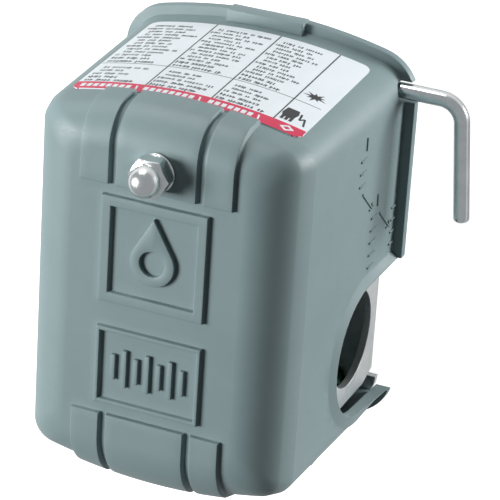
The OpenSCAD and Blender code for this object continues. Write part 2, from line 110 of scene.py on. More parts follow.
def surface(name, color, dark, rough, metallic=0.0, mottle=220.0, grain=2500.0, bump=0.06, depth=0.00003,
            stretch=(1, 1, 1), edge=0.00018, spread=0.08, **sockets):
    """A procedural finish: two close colours mottled by noise, uneven gloss, fine relief, softened edges."""
    m, nt, b = tree(name)
    co = nt.nodes.new("ShaderNodeTexCoord").outputs["Object"]
    soft = noise(nt, co, mottle, 4.0, 0.6)
    mix = nt.nodes.new("ShaderNodeMix")
    mix.data_type = "RGBA"
    mix.inputs["A"].default_value = (*dark, 1)
    mix.inputs["B"].default_value = (*color, 1)
    nt.links.new(remap(nt, soft, 0.0, 1.0), mix.inputs["Factor"])
    nt.links.new(mix.outputs["Result"], b.inputs["Base Color"])
    fine = noise(nt, co, grain, 2.0, 0.5, stretch)
    nt.links.new(remap(nt, fine, rough - spread, rough + spread), b.inputs["Roughness"])
    bev = nt.nodes.new("ShaderNodeBevel")
    bev.samples = 4
    bev.inputs["Radius"].default_value = edge
    bp = nt.nodes.new("ShaderNodeBump")
    bp.inputs["Strength"].default_value = bump
    bp.inputs["Distance"].default_value = depth
    nt.links.new(fine, bp.inputs["Height"])
    nt.links.new(bev.outputs["Normal"], bp.inputs["Normal"])
    nt.links.new(bp.outputs["Normal"], b.inputs["Normal"])
    b.inputs["Metallic"].default_value = metallic
    for key, v in sockets.items():
        b.inputs[key.replace("_", " ")].default_value = v
    return m


MATS = {
    "cover_plastic": surface("moulded_plastic", (0.212, 0.288, 0.298), (0.197, 0.271, 0.281), 0.50,
                             mottle=90, grain=3200, bump=0.16, depth=0.00005, edge=0.00022),
    "label": surface("label_paper", (0.80, 0.86, 0.90), (0.76, 0.83, 0.87), 0.34, mottle=160, grain=5000,
                     bump=0.05, depth=0.00001, edge=0.00004),
    "nickel": surface("nickel_plate", (0.84, 0.86, 0.86), (0.78, 0.80, 0.80), 0.24, 1.0, mottle=500, grain=2600,
                      bump=0.02, depth=0.00001, spread=0.03),
    "zinc_plate": surface("zinc_plate", (0.84, 0.87, 0.87), (0.70, 0.74, 0.75), 0.36, 0.85, mottle=350,
                          grain=900, bump=0.07, depth=0.00003, stretch=(1, 1, 9)),
    "cast_zinc": surface("cast_zinc", (0.60, 0.61, 0.62), (0.45, 0.46, 0.48), 0.42, 0.9, mottle=400, grain=1600,
                         bump=0.15, depth=0.00006),
    "rubber": surface("nitrile", (0.022, 0.022, 0.022), (0.012, 0.012, 0.012), 0.62, grain=1800, bump=0.2),
    "zinc_screw": surface("zinc_screw", (0.80, 0.80, 0.74), (0.62, 0.60, 0.52), 0.28, 1.0, mottle=700, grain=2200),
    "nylon": surface("nylon", (0.80, 0.78, 0.70), (0.74, 0.72, 0.64), 0.45, grain=1500, Subsurface_Weight=0.15,
                     Subsurface_Scale=0.002),
    "steel_pin": surface("steel_pin", (0.62, 0.62, 0.62), (0.50, 0.50, 0.51), 0.25, 1.0, mottle=500, grain=2000),
    "spring_steel": surface("spring_steel", (0.42, 0.43, 0.45), (0.30, 0.31, 0.33), 0.30, 1.0, mottle=500,
                            grain=2400),
    "phenolic": surface("phenolic", (0.018, 0.018, 0.020), (0.010, 0.010, 0.011), 0.33, mottle=300, grain=1400,
                        bump=0.1),
    "brass": surface("brass", (0.80, 0.58, 0.24), (0.62, 0.42, 0.15), 0.28, 1.0, mottle=500, grain=1800),
    "copper": surface("copper_strip", (0.83, 0.45, 0.26), (0.60, 0.28, 0.15), 0.30, 1.0, mottle=500, grain=1800),
    "silver": surface("silver_contact", (0.88, 0.87, 0.84), (0.72, 0.71, 0.68), 0.25, 1.0, mottle=900, grain=2400),
    "green_screw": surface("green_screw", (0.004, 0.060, 0.022), (0.003, 0.040, 0.014), 0.30, 0.3, mottle=700,
                           grain=2200, Coat_Weight=0.3),
    "lever_rod": surface("zinc_rod", (0.88, 0.90, 0.91), (0.76, 0.79, 0.80), 0.16, 1.0, mottle=260, grain=1300,
                         bump=0.05, depth=0.00002, stretch=(1, 0.15, 1), spread=0.05),
    "black_steel": surface("black_oxide", (0.03, 0.03, 0.032), (0.018, 0.018, 0.02), 0.38, 0.6, grain=2200),
}
CRIMSON = surface("label_crimson", (0.66, 0.020, 0.085), (0.60, 0.014, 0.070), 0.36, mottle=160, grain=5000,
                  bump=0.04, depth=0.00001, edge=0.00004)
INK = surface("label_ink", (0.022, 0.024, 0.028), (0.012, 0.013, 0.016), 0.42, mottle=400, grain=5000, bump=0.04,
              depth=0.00001, edge=0.00004)
SLOT = {s["node"]: s["material_slot"] for s in frame["record"]["subparts"]}
for node, obj in frame["nodes"].items():
    obj.data.materials.clear()
    obj.data.materials.append(MATS[SLOT[node]])


# ---------------------------------------------------------------- mesh helpers
def piece(name, verts, faces, body, slot, smooth=32.0, material=None, replaces=()):
    """A new mesh piece from points in mm, riding on a body and finished from a slot."""
    me = bpy.data.meshes.new(name)
    me.from_pydata([tuple(c * MM for c in v) for v in verts], [], faces)
    me.validate()
    return dress(me, name, body, slot, smooth, material, replaces)


def dress(me, name, body, slot, smooth=32.0, material=None, replaces=()):
    me.name = name
    bm = bmesh.new()
    bm.from_mesh(me)
    bmesh.ops.recalc_face_normals(bm, faces=bm.faces)
    bm.to_mesh(me)
    bm.free()
    me.materials.clear()
    me.materials.append(material or MATS[slot])
    me.shade_smooth()
    me.set_sharp_from_angle(angle=math.radians(smooth))
    o = bpy.data.objects.new(name, me)
    bpy.context.scene.collection.objects.link(o)
    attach(o, body)
    if replaces:
        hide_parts(*replaces)
    return o


def raw(verts, faces):
    """A plain helper object for the boolean cuts, in mm scaled to metres."""
    me = bpy.data.meshes.new("tool")
    me.from_pydata([tuple(c * MM for c in v) for v in verts], [], faces)
    bm = bmesh.new()
    bm.from_mesh(me)
    bmesh.ops.recalc_face_normals(bm, faces=bm.faces)
    bm.to_mesh(me)
    bm.free()
    o = bpy.data.objects.new("tool", me)
    bpy.context.scene.collection.objects.link(o)
    return o


def booleans(base, tools, op="DIFFERENCE"):
    """The mesh of base after cutting it with (or joining it to) each tool. The helpers are removed."""
    for t in tools:
        md = base.modifiers.new("cut", "BOOLEAN")
        md.operation, md.solver, md.object = op, "EXACT", t
        dg = bpy.context.evaluated_depsgraph_get()
        me = bpy.data.meshes.new_from_object(base.evaluated_get(dg))
        base.modifiers.clear()
        base.data = me
        bpy.data.objects.remove(t)
    me = base.data
    bpy.data.objects.remove(base)
    return me


def rings(loops, closed=True):
    """Quads between loops of equal length, with the first and last capped when closed."""
    n = len(loops[0])
    verts = [p for l in loops for p in l]
    faces = [(i * n + k, i * n + (k + 1) % n, (i + 1) * n + (k + 1) % n, (i + 1) * n + k)
             for i in range(len(loops) - 1) for k in range(n)]
    if closed:
        faces += [tuple(range(n))[::-1], tuple(range((len(loops) - 1) * n, len(loops) * n))]
    return verts, faces


def turned(profile, centre, n=64):
    """Points (r, z) turned round the Z axis through centre."""
    loops = [[(centre[0] + r * math.cos(2 * math.pi * k / n), centre[1] + r * math.sin(2 * math.pi * k / n),
               centre[2] + z) for k in range(n)] for r, z in profile]
    return rings(loops)


def tube(path, radius, sides=24):
    """A closed tube along a list of points with the same or one radius each, without twist."""
    pts = [Vector(p) for p in path]
    radii = radius if isinstance(radius, list) else [radius] * len(pts)
    up, loops = Vector((0, 0, 1)), []
    for i, p in enumerate(pts):
        t = (pts[min(i + 1, len(pts) - 1)] - pts[max(i - 1, 0)]).normalized()
        side = t.cross(up).normalized()
        upn = side.cross(t)
        loops.append([tuple(p + radii[i] * (math.cos(a) * side + math.sin(a) * upn))
                      for a in (2 * math.pi * k / sides for k in range(sides))])
    return rings(loops)


def block(x0, x1, y0, y1, z0, z1, r=0.25):
    """A box with chamfered edges."""
    xs, ys, zs = (x0, x1), (y0, y1), (z0, z1)
    bm = bmesh.new()
    v = [bm.verts.new((x, y, z)) for x in xs for y in ys for z in zs]
    for f in ((0, 1, 3, 2), (4, 6, 7, 5), (0, 4, 5, 1), (2, 3, 7, 6), (0, 2, 6, 4), (1, 5, 7, 3)):
        bm.faces.new([v[i] for i in f])
    bmesh.ops.bevel(bm, geom=list(bm.edges), offset=r, segments=2, affect="EDGES", profile=0.6)
    bm.verts.index_update()
    out = [tuple(q.co) for q in bm.verts], [tuple(q.index for q in f.verts) for f in bm.faces]
    bm.free()
    return out


def joined(parts):
    verts, faces = [], []
    for v, f in parts:
        faces += [tuple(i + len(verts) for i in q) for q in f]
        verts += v
    return verts, faces


# ---------------------------------------------------------------- the cover's form, as in part.scad
def drawn_in(r, d):
    return 0.0 if d >= r else r - math.sqrt(max(0.0, r * r - (r - d) ** 2))


def level(h, t):
    d = COVER_H - t - h
    rear = t if h > LIP_H + 0.5 else max(t, -REAR_LIP)
    return (HW - t - DRAFT_X * h - drawn_in(SIDE_F - t, d),
            FRONT + t + DRAFT_Y * h + drawn_in(FRONT_F - t, d),
            REAR - rear - DRAFT_Y * h - drawn_in(REAR_F - t, d),
            CORNER - t - 3 * h / COVER_H)


def corner(w, yr, rc):
    cy = yr + math.sqrt((BOW - rc) ** 2 - (w - rc) ** 2) - BOW
    return cy, math.atan2(cy - yr + BOW, w - rc)


def end_y(x, w, yr, rc):
    cy, a0 = corner(w, yr, rc)
    if abs(x) <= BOW * math.cos(a0):
        return yr - BOW + math.sqrt(BOW * BOW - x * x)
    return cy + math.sqrt(max(0.0, rc * rc - (abs(x) - (w - rc)) ** 2))


def corner_path(w, yr, rc, n):
    """n points on the outline from just past x = COLUMN_X to the start of the straight side, evenly spaced."""
    cy, a0 = corner(w, yr, rc)
    xb = BOW * math.cos(a0)
    run = max(0.0, xb - COLUMN_X)
    a1 = a0 if run > 0 else math.acos(min(1.0, (COLUMN_X - (w - rc)) / rc))
    total = run + rc * a1
    pts = []
    for i in range(1, n + 1):
        s = total * i / n
        if s < run:
            x = COLUMN_X + s
            pts.append((x, yr - BOW + math.sqrt(BOW * BOW - x * x)))
        else:
            a = a1 - (s - run) / rc
            pts.append((w - rc + rc * math.cos(a), cy + rc * math.sin(a)))
    return pts


def front_point(x, z, t):
    """A point on the front wall, moved out by -t."""
    w, yf, _, rc = level(z - RIM, t)
    return (x, -end_y(x, w, -yf, rc), z)


def outline(w, yf, yr, rc, na=8, nb=10):
    pts = []
    for sy, y in ((1, yr), (-1, -yf)):
        cy, a0 = corner(w, y, rc)
        half = [(w - rc + rc * math.cos(a0 * i / na), cy + rc * math.sin(a0 * i / na)) for i in range(na + 1)]
        bow = [(BOW * math.cos(a), y - BOW + BOW * math.sin(a)) for a in
               (a0 + (math.pi - 2 * a0) * i / nb for i in range(1, nb))]
        arc = half + bow + [(-x, q) for x, q in reversed(half)]
        pts += arc if sy > 0 else [(-x, -q) for x, q in arc]
    return pts


def form(t, foot, step=9):
    """The cover's whole form moved inward by t, as a closed solid."""
    hs = [-foot] + [COVER_H - t - (REAR_F - t) * (1 - math.cos(math.radians(a))) for a in range(90, -1, -step)]
    return rings([[(x, y, RIM + h) for x, y in outline(*level(h, t))] for h in hs])


STEP = [(-0.30, 0.0), (-0.17, 0.02), (-0.09, 0.10), (-0.03, 0.30), (0.03, 0.72), (0.09, 0.90), (0.18, 0.98),
        (0.30, 1.0)]


def rise(d):
    """Height share at a signed distance d inside a raised pad's edge: a steep wall with small rounds."""
    if d <= STEP[0][0]:
        return 0.0
    for (a, ha), (b, hb) in zip(STEP, STEP[1:]):
        if d <= b:
            return ha + (hb - ha) * (d - a) / (b - a)
    return 1.0


def spaced(edges, lo, hi, gap):
    """Sorted stops: the edge profile's offsets both ways round each edge, and fill no wider than gap."""
    stops = {lo, hi}
    for e in edges:
        stops |= {round(e + s * d, 4) for d, _ in STEP for s in (1, -1)}
    stops = sorted(v for v in stops if lo <= v <= hi)
    out = []
    for a, b in zip(stops, stops[1:]):
        n = max(1, math.ceil((b - a) / gap))
        out += [a + (b - a) * i / n for i in range(n)]
    return out + [hi]


def pad_share(x, y, z, front):
    reach = min(z - PAD_Z, (PAD_FRONT_Y - y) if front else (y - PAD_REAR_Y))
    return max(rise(min(x - a, b - x, reach)) for a, b in PADS)


def top_share(x, y):
    best = max(pad_share(x, y, TOP, True), pad_share(x, y, TOP, False))
    for y0, y1, bar in ((FRAME_Y0, FRAME_Y1, FRAME_BAR), (PLATE_Y0, PLATE_Y1, PLATE_BAR)):
        a = min(x + FRAME_HW, FRAME_HW - x, y - y0, y1 - y)
        best = max(best, rise(min(a, bar - a)))
    return best


def cover_solid():
    edges_x = [e for p in PADS for e in p] + [s * v for s in (1, -1) for v in
                                              (FRAME_HW, FRAME_HW - FRAME_BAR, FRAME_HW - PLATE_BAR)]
    xs = spaced(edges_x, -COLUMN_X, COLUMN_X, 1.8)
    rows = spaced([PAD_FRONT_Y, FRAME_Y0, FRAME_Y0 + FRAME_BAR, FRAME_Y1 - FRAME_BAR, FRAME_Y1, PLATE_Y0,
                   PLATE_Y0 + PLATE_BAR, PLATE_Y1 - PLATE_BAR, PLATE_Y1, PAD_REAR_Y], -14.5, 42.5, 2.6)
    # levels: (height over the rim, how far out the lip stands)
    lip = [(0.0, LIP_OUT - 0.15), (0.15, LIP_OUT), (LIP_H - 0.3, LIP_OUT), (LIP_H - 0.08, LIP_OUT - 0.1),
           (LIP_H, LIP_OUT - 0.35), (LIP_H, 0.45), (LIP_H + 0.08, 0.15), (LIP_H + 0.4, 0.0)]
    bend = COVER_H - REAR_F
    walls = spaced([PAD_Z - RIM], LIP_H + 0.4, bend + 1.2, 4.0)[1:]
    tops = [COVER_H - REAR_F * (1 - math.cos(math.radians(a))) for a in range(62, -1, -4)]
    tops = [h for h in tops if h > bend + 1.5] + ([] if tops[-1] == COVER_H else [COVER_H])
    levels = lip + [(h, 0.0) for h in walls + tops]

    def at(x, h, out, front, share):
        """The point on the end wall at x, mixed between the plain form and the one a pad's height out."""
        def one(t, hh):
            w, yf, yr, rc = level(hh, t)
            return Vector((x, -end_y(x, w, -yf, rc) if front else end_y(x, w, yr, rc), RIM + hh))
        p = one(-out, h)
        if share <= 0:
            return p
        hi = h if h <= bend else COVER_H + PAD_H - (REAR_F + PAD_H) * (COVER_H - h) / REAR_F
        return p.lerp(one(-PAD_H, hi), share)

    verts, faces, cols = [], [], []
    for x in xs:
        col = []
        for front in (True, False):
            line = []
            for h, out in levels:
                base = at(x, h, out, front, 0)
                share = pad_share(x, base.y, base.z, front) if h > LIP_H + 1 else 0
                line.append(tuple(at(x, h, out, front, share)))
            if front:
                col += line + [(x, y, TOP + PAD_H * top_share(x, y)) for y in rows]
            else:
                col += line[::-1]
        cols.append(list(range(len(verts), len(verts) + len(col))))
        verts += col
    for a, b in zip(cols, cols[1:]):
        faces += [(a[i], b[i], b[i + 1], a[i + 1]) for i in range(len(a) - 1)]
    nl, nr, nc = len(levels), len(rows), 18
    share = [(y - rows[0]) / (rows[-1] - rows[0]) * 0.94 + 0.03 for y in rows]
    foot = {}
    for side, col in ((1, cols[-1]), (-1, cols[0])):
        loops = []
        for i, (h, out) in enumerate(levels):
            w, yf, yr, rc = level(h, -out)
            fr = [(side * x, -y) for x, y in corner_path(w, -yf, rc, nc)]
            re = [(side * x, y) for x, y in corner_path(w, yr, rc, nc)][::-1]
            y0, y1 = fr[-1][1], re[0][1]
            pts = fr + [(side * w, y0 + s * (y1 - y0)) for s in share] + re
            n = len(verts)
            verts += [(x, y, RIM + h) for x, y in pts]
            loops.append([col[i]] + list(range(n, n + len(pts))) + [col[len(col) - 1 - i]])
        for a, b in zip(loops, loops[1:]):
            faces += [(a[k], a[k + 1], b[k + 1], b[k]) for k in range(len(a) - 1)]
        top, inner = loops[-1], col[nl:nl + nr]
        faces += [(inner[0], top[k], top[k + 1]) for k in range(nc + 1)]
        faces += [(inner[-1], top[k], top[k + 1]) for k in range(nc + nr, len(top) - 1)]
        faces += [(inner[j], inner[j + 1], top[nc + 2 + j], top[nc + 1 + j]) for j in range(nr - 1)]
        foot[side] = loops[0]
    faces.append(tuple([c[0] for c in cols] + foot[1][1:] + [c[-1] for c in reversed(cols)][1:]
                       + foot[-1][::-1][1:-1]))
    return verts, faces


def wall_point(side, y, z, out):
    """A point beside the leaning side wall, out mm off its outer face."""
    return (side * (HW + out - DRAFT_X * (z - RIM)), y, z)


def arch_path(yc, zc, r, foot, widen, n=48):
    """Stations round an arch: edge (y, z), direction away from the opening, and share of the way down a leg."""
    out = []
    legs = [0.0, 0.3, 0.6, 1.0]
    for s in (1, -1):
        run = [((yc + s * (r + widen[s > 0] * q), zc + (foot - zc) * q), (s, 0.0), q) for q in legs]
        if s > 0:
            out += run[::-1] + [((yc + r * math.cos(a), zc + r * math.sin(a)), (math.cos(a), math.sin(a)), 0.0)
                                for a in (math.pi * i / n for i in range(1, n))]
        else:
            out += run
    return out


def arch_plug(side, yc, zc, r, foot, widen=(0.0, 0.0), n=48):
    """An arch-shaped plug through a side wall, leaning with the wall."""
    path = arch_path(yc, zc, r, foot, widen, n)
    return rings([[wall_point(side, y, z, out) for (y, z), _, _ in path] for out in (-3.5, 7.0)])


def arch_flare(side, yc, zc, r, foot, widen):
    """The raised band round an arch: it rises from the wall to the opening, and into the lip at its feet."""
    loops = []
    for (y, z), (dy, dz), leg in arch_path(yc, zc, r, foot, widen):
        wide, tall = FLARE * (1 - 0.45 * leg), 0.8 + 0.7 * leg
        section = [(-1.0, -0.9), (-1.0, tall * 1.05), (0.0, tall), (wide * 0.5, tall * 0.56), (wide, tall * 0.08),
                   (wide * 1.25, -0.1), (wide * 1.4, -0.9)]
        loops.append([wall_point(side, y + dy * q, z + dz * q, out) for q, out in section])
    return rings(loops)


# ---------------------------------------------------------------- cover
FOOT, WIDEN = RIM + LIP_H - 0.4, (1.5, 0.5)
nose = raw(*block(NOSE_X0, NOSE_X1, FRONT - LIP_OUT, FRONT - LIP_OUT + NOSE_SIZE, RIM, RIM + NOSE_SIZE, 0.3))
added = [nose] + [raw(*arch_flare(side, ARCH_Y, ARCH_Z, ARCH_R, FOOT, WIDEN)) for side in (1, -1)]
cuts = [raw(*form(WALL, 1.0))]
cuts += [raw(*arch_plug(side, ARCH_Y, ARCH_Z, ARCH_R, RIM - 3, (WIDEN[0] * 1.35, WIDEN[1] * 1.35)))
         for side in (1, -1)]
cuts += [raw(*arch_plug(-1, CUT_Y, RIM + ROD_HOLE_Z, ROD_HOLE_R, RIM - 3, n=24)),
         raw(*turned([(STUD_HOLE_R, -4), (STUD_HOLE_R, 4)], (0, RANGE_Y, TOP), 40))]
shell = booleans(raw(*cover_solid()), added, "UNION")
holder = bpy.data.objects.new("tool", shell)
bpy.context.scene.collection.objects.link(holder)
dress(booleans(holder, cuts), "cover_shell", "cover", "cover_plastic", 30, replaces=("cover",))


def drop_ring(r_out, r_in, point, z0, z1, edge=0.16, n=64):
    """A water-drop ring: a round ring whose outside runs out to a point."""
    loops = []
    cut = math.radians(30)
    for grow, z in ((0.0, z0), (0.0, z1 - edge), (-edge * 0.3, z1 - edge * 0.3), (-edge, z1)):
        r = r_out + grow
        pts = []
        for k in range(n):
            a = 2 * math.pi * k / n - math.pi / 2
            d = (a + math.pi / 2 + math.pi) % (2 * math.pi) - math.pi
            edge_r = r if abs(d) > math.pi / 2 - cut else min(
                r * 2, r / max(0.2, math.cos(math.pi / 2 - cut - abs(d))))
            pts.append((edge_r * math.cos(a), edge_r * math.sin(a), z))
        loops.append(pts)
    for grow, z in ((edge, z1), (edge * 0.3, z1 - edge * 0.3), (0.0, z1 - edge), (0.0, z0)):
        loops.append([((r_in + grow) * math.cos(2 * math.pi * k / n - math.pi / 2),
                       (r_in + grow) * math.sin(2 * math.pi * k / n - math.pi / 2), z) for k in range(n)])
    verts, faces = rings(loops, closed=False)
    m = (len(loops) - 1) * n
    faces += [(m + k, m + (k + 1) % n, (k + 1) % n, k) for k in range(n)]
    return [(x, y + point, z) for x, y, z in verts], faces


piece("cover_emblem", *drop_ring(DROP_R, DROP_HOLE, (FRAME_Y0 + FRAME_Y1) / 2 + DROP_UP, TOP - 0.2, TOP + PAD_H),
      "cover", "cover_plastic")
ribs = []
for i in range(-3, 4):
    cut = RIB_LONG if i % 2 == 0 else RIB_SHORT
    ribs.append(block(i * RIB_PITCH - RIB_HW, i * RIB_PITCH + RIB_HW, PLATE_Y0 + cut, PLATE_Y1 - cut,
                      TOP - 0.4, TOP + 0.8, 0.16))
piece("cover_gauge_ribs", *joined(ribs), "cover", "cover_plastic")
stops = []
for s in (-1, 1):
    for y in STOP_YS:
        x0, x1 = sorted((s * STOP_X0, s * STOP_X1))
        stops.append(block(x0, x1, y, y + STOP_T, RIM - 0.5, RIM + STOP_H, 0.2))
piece("cover_stop_ribs", *joined(stops), "cover", "cover_plastic")


# raised marks on the lever side: plain bars and arrows
def mark(y0, z0, y1, z1, wide, tall=0.28):
    """A raised bar on the -X wall from (y0, z0) to (y1, z1), in mm of the row frame."""
    d = Vector((y1 - y0, z1 - z0)).normalized()
    n = Vector((-d.y, d.x)) * wide / 2
    loops = []
    for out, inset in ((-0.3, 0.0), (tall * 0.6, 0.0), (tall, 0.09)):
        pts = []
        for (y, z), e in (((y0, z0), 1), ((y1, z1), -1)):
            for s in ((1, -1) if e > 0 else (-1, 1)):
                q = Vector((y, z)) + n * s * (1 - 2 * inset / wide) + d * inset * e
                pts.append((-(HW + out - DRAFT_X * (q.y - RIM)), q.x, q.y))
        loops.append(pts)
    return rings(loops)


def arrow(y0, z0, y1, z1, head=1.9):
    d = Vector((y1 - y0, z1 - z0)).normalized()
    out = [mark(y0, z0, y1, z1, 0.45)]
    for s in (1, -1):
        a = math.radians(150) * s
        q = Vector((d.x * math.cos(a) - d.y * math.sin(a), d.x * math.sin(a) + d.y * math.cos(a))) * head
        out.append(mark(y1, z1, y1 + q.x, z1 + q.y, 0.45))
    return out


DY, DZ = 13.0, RIM
marks = [mark(-31 + DY, 21.5 + DZ, -28 + DY, 21.5 + DZ, 0.5),
         mark(-14.9 + DY, 13 + DZ, -12.2 + DY, 13 + DZ, 0.5)]
marks += arrow(-18.1 + DY, 21.9 + DZ, -12.4 + DY, 15.7 + DZ) + arrow(-10 + DY, 11.4 + DZ, -4.3 + DY, 5.3 + DZ)
for y, z, n, tall in ((-26.2, 22.5, 3, 3.2), (-10.2, 14.4, 5, 3.2), (-8.4, 3.2, 4, 3.0)):
    for k in range(n):
        yy, zz = y + DY + k * 2.9, z + DZ
        marks.append(mark(yy, zz - tall / 2, yy, zz + tall / 2, 0.5))
piece("cover_side_marks", *joined(marks), "cover", "cover_plastic", 50)


# ---------------------------------------------------------------- label
def label_hw(z, r=2.0):
    d = min(z - LABEL_Z0, LABEL_Z1 - z)
    return LABEL_HW - (0 if d >= r else r - math.sqrt(max(0, r * r - (r - d) ** 2)))


def patch(z0, z1, hw, t_top, nz=40, nx=56, close=0.02):
    """A sheet on the front wall between two heights, with real thickness and the label's rounded corners."""
    zs = [z0 + (z1 - z0) * i / nz for i in range(nz + 1)]
    zs = sorted(set(zs + [z for z in (LABEL_Z0 + d for d in (0.1, 0.3, 0.7, 1.2)) if z0 < z < z1]
                    + [z for z in (LABEL_Z1 - d for d in (0.1, 0.3, 0.7, 1.2)) if z0 < z < z1]))
    verts, faces = [], []
    for t in (-t_top, close):
        for z in zs:
            h = hw(z)
            verts += [front_point(-h + 2 * h * k / nx, z, t) for k in range(nx + 1)]
    w, n = nx + 1, len(zs)
    for s in (0, n * w):
        faces += [(s + i * w + k, s + i * w + k + 1, s + (i + 1) * w + k + 1, s + (i + 1) * w + k)
                  for i in range(n - 1) for k in range(nx)]
    rim = ([k for k in range(w)] + [i * w + nx for i in range(1, n)]
           + [(n - 1) * w + k for k in range(nx - 1, -1, -1)] + [i * w for i in range(n - 2, 0, -1)])
    faces += [(a, b, b + n * w, a + n * w) for a, b in zip(rim, rim[1:] + rim[:1])]
    return verts, faces


BAND_Z = 59.85
piece("label_sheet", *patch(LABEL_Z0, LABEL_Z1, label_hw, LABEL_T), "cover", "label", 40,
      replaces=("cover_label",))
piece("label_band", *patch(BAND_Z, LABEL_Z1 - 0.02, lambda z: label_hw(z) - 0.02, LABEL_T + 0.03, 8, close=0.0),
      "cover", "label", 40, CRIMSON)


def ink(quads, name, material, lift=0.035):
    """Flat printed shapes on the label: each is a list of (x, z) corners."""
    verts, faces = [], []
    for q in quads:
        n = len(verts)
        top = [front_point(x, z, -(LABEL_T + lift)) for x, z in q]
        low = [front_point(x, z, -(LABEL_T - 0.01)) for x, z in q]
        m = len(q)
        verts += top + low
        faces.append(tuple(range(n, n + m)))
        faces.append(tuple(range(n + 2 * m - 1, n + m - 1, -1)))
        faces += [(n + k, n + (k + 1) % m, n + m + (k + 1) % m, n + m + k) for k in range(m)]
    return piece(name, verts, faces, "cover", "label", 40, material)


def bar(x0, x1, z0, z1):
    """A rectangle in runs no longer than 1.6 mm, so that it follows the bowed wall."""
    n = max(1, math.ceil(abs(x1 - x0) / 1.6))
    xs = [x0 + (x1 - x0) * k / n for k in range(n + 1)]
    return [[(a, z0), (b, z0), (b, z1), (a, z1)] for a, b in zip(xs, xs[1:])]


rng = random.Random(7)
SEPS = [-18.2, -4.5, 10.3]
RULE_Z = 49.0
black, white = [], []
for x in SEPS:
    black += [[(x - 0.13, LABEL_Z0 + 0.1), (x + 0.13, LABEL_Z0 + 0.1), (x + 0.13, BAND_Z), (x - 0.13, BAND_Z)]]
black += bar(-24.2, 25.3, RULE_Z - 0.06, RULE_Z + 0.06)


def words(x_start, x_end, z, tall, weight, gap=0.62):
    """One greeked line of print: runs of small uneven blocks, no letters."""
    out, x = [], x_start
    while x > x_end + 1.2:
        n = rng.randint(2, 8)
        for _ in range(n):
            w = rng.uniform(0.24, 0.46) * weight
            if x - w < x_end:
                break
            up, down = rng.choice((0, 0, 0.18, 0.3)), rng.choice((0, 0, 0, 0.16))
            kind = rng.random()
            if kind < 0.45:
                strokes = [(0, 0.42, -down, 0.72 + up), (0, 1, 0.28, 0.5)]
            elif kind < 0.8:
                strokes = [(0, 1, 0, 0.2), (0, 1, 0.52, 0.72), (0.6, 1, 0, 0.7)]
            else:
                strokes = [(0.2, 0.7, 0, 0.72 + up)]
            for x0, x1, z0, z1 in strokes:
                out.append([(x - w * x0, z + tall * z0), (x - w * x1, z + tall * z0),
                            (x - w * x1, z + tall * z1), (x - w * x0, z + tall * z1)])
            x -= w + 0.13
        x -= gap
    return out


# the print reads with its lines along X and its top towards the band; (height, weight, pitch) of each line
BOLD, PLAIN = (1.18, 1.7, 1.9), (1.02, 1.3, 1.78)
for left, right in ((24.6, 10.9), (9.8, -3.9), (-5.1, -17.6)):
    for z, shortest, ragged, indent_all, count in ((BAND_Z - 1.35, 0.3, 0.45, True, 3),
                                                   (RULE_Z - 1.6, 0.2, 0.4, False, 13)):
        for (tall, weight, pitch), n in ((BOLD, 2), (PLAIN, count)):
            for k in range(n):
                if not indent_all and z < LABEL_Z0 + 1.2:
                    break
                end = right + rng.uniform(shortest, ragged * (left - right))
                flush = tall == BOLD[0] or (k == 0 if indent_all else k % 3 == 0)
                black += words(left if flush else left - 1.0, end, z, tall, weight)
                z -= pitch
# pictogram column: a plain lightning-like zigzag, a rounded block and a starburst
def poly(cx, cz, pts, s=1.0):
    return [(cx + x * s, cz + z * s) for x, z in pts]


black.append(poly(-20.2, 55.6, [(1.4, -2.2), (-1.2, -2.2), (-1.6, -0.6), (-1.2, 1.8), (1.2, 1.8), (1.7, 0.2)]))
for k in range(3):
    black.append(poly(-19.3 - k * 0.95, 57.6, [(0.32, -0.6), (-0.32, -0.6), (-0.32, 1.1), (0.32, 1.1)]))
for a, b in (((-22.2, 54.2), (-22.6, 56.8)), ((-22.6, 56.8), (-23.4, 55.6)), ((-23.4, 55.6), (-24.2, 58.6))):
    black.append([(a[0] + 0.22, a[1]), (a[0] - 0.22, a[1]), (b[0] - 0.22, b[1]), (b[0] + 0.22, b[1])])
star = []
for k in range(18):
    r = (2.5 if k % 4 == 0 else 1.9) if k % 2 == 0 else 0.95
    a = 2 * math.pi * k / 18
    star.append((r * math.cos(a) * 1.1, r * math.sin(a) * 0.85))
for k in range(18):
    black.append(poly(-21.4, 45.2, [(0, 0), star[k], star[(k + 1) % 18]]))
ink(black, "label_print", INK)

# the band's print: three groups of plain white blocks with slanted dividers, and a small diamond outline
for x, n in ((24.0, 8), (9.9, 8), (-4.6, 7)):
    for k in range(n):
        white += bar(x - k * 1.45, x - k * 1.45 - 1.0, 60.95, 62.5)
    end = x - n * 1.45 - 0.5
    white += [[(end, 60.8), (end - 0.4, 60.8), (end - 0.8, 62.65), (end - 0.4, 62.65)]]
for k in range(4):
    a, b = math.pi / 2 * k, math.pi / 2 * (k + 1)
    white.append([(-21.9 + r * math.cos(q), 61.7 + r * 0.8 * math.sin(q))
                  for r, q in ((1.6, a), (1.6, b), (0.8, b), (0.8, a))])
ink(white, "label_band_print", MATS["label"], 0.06)


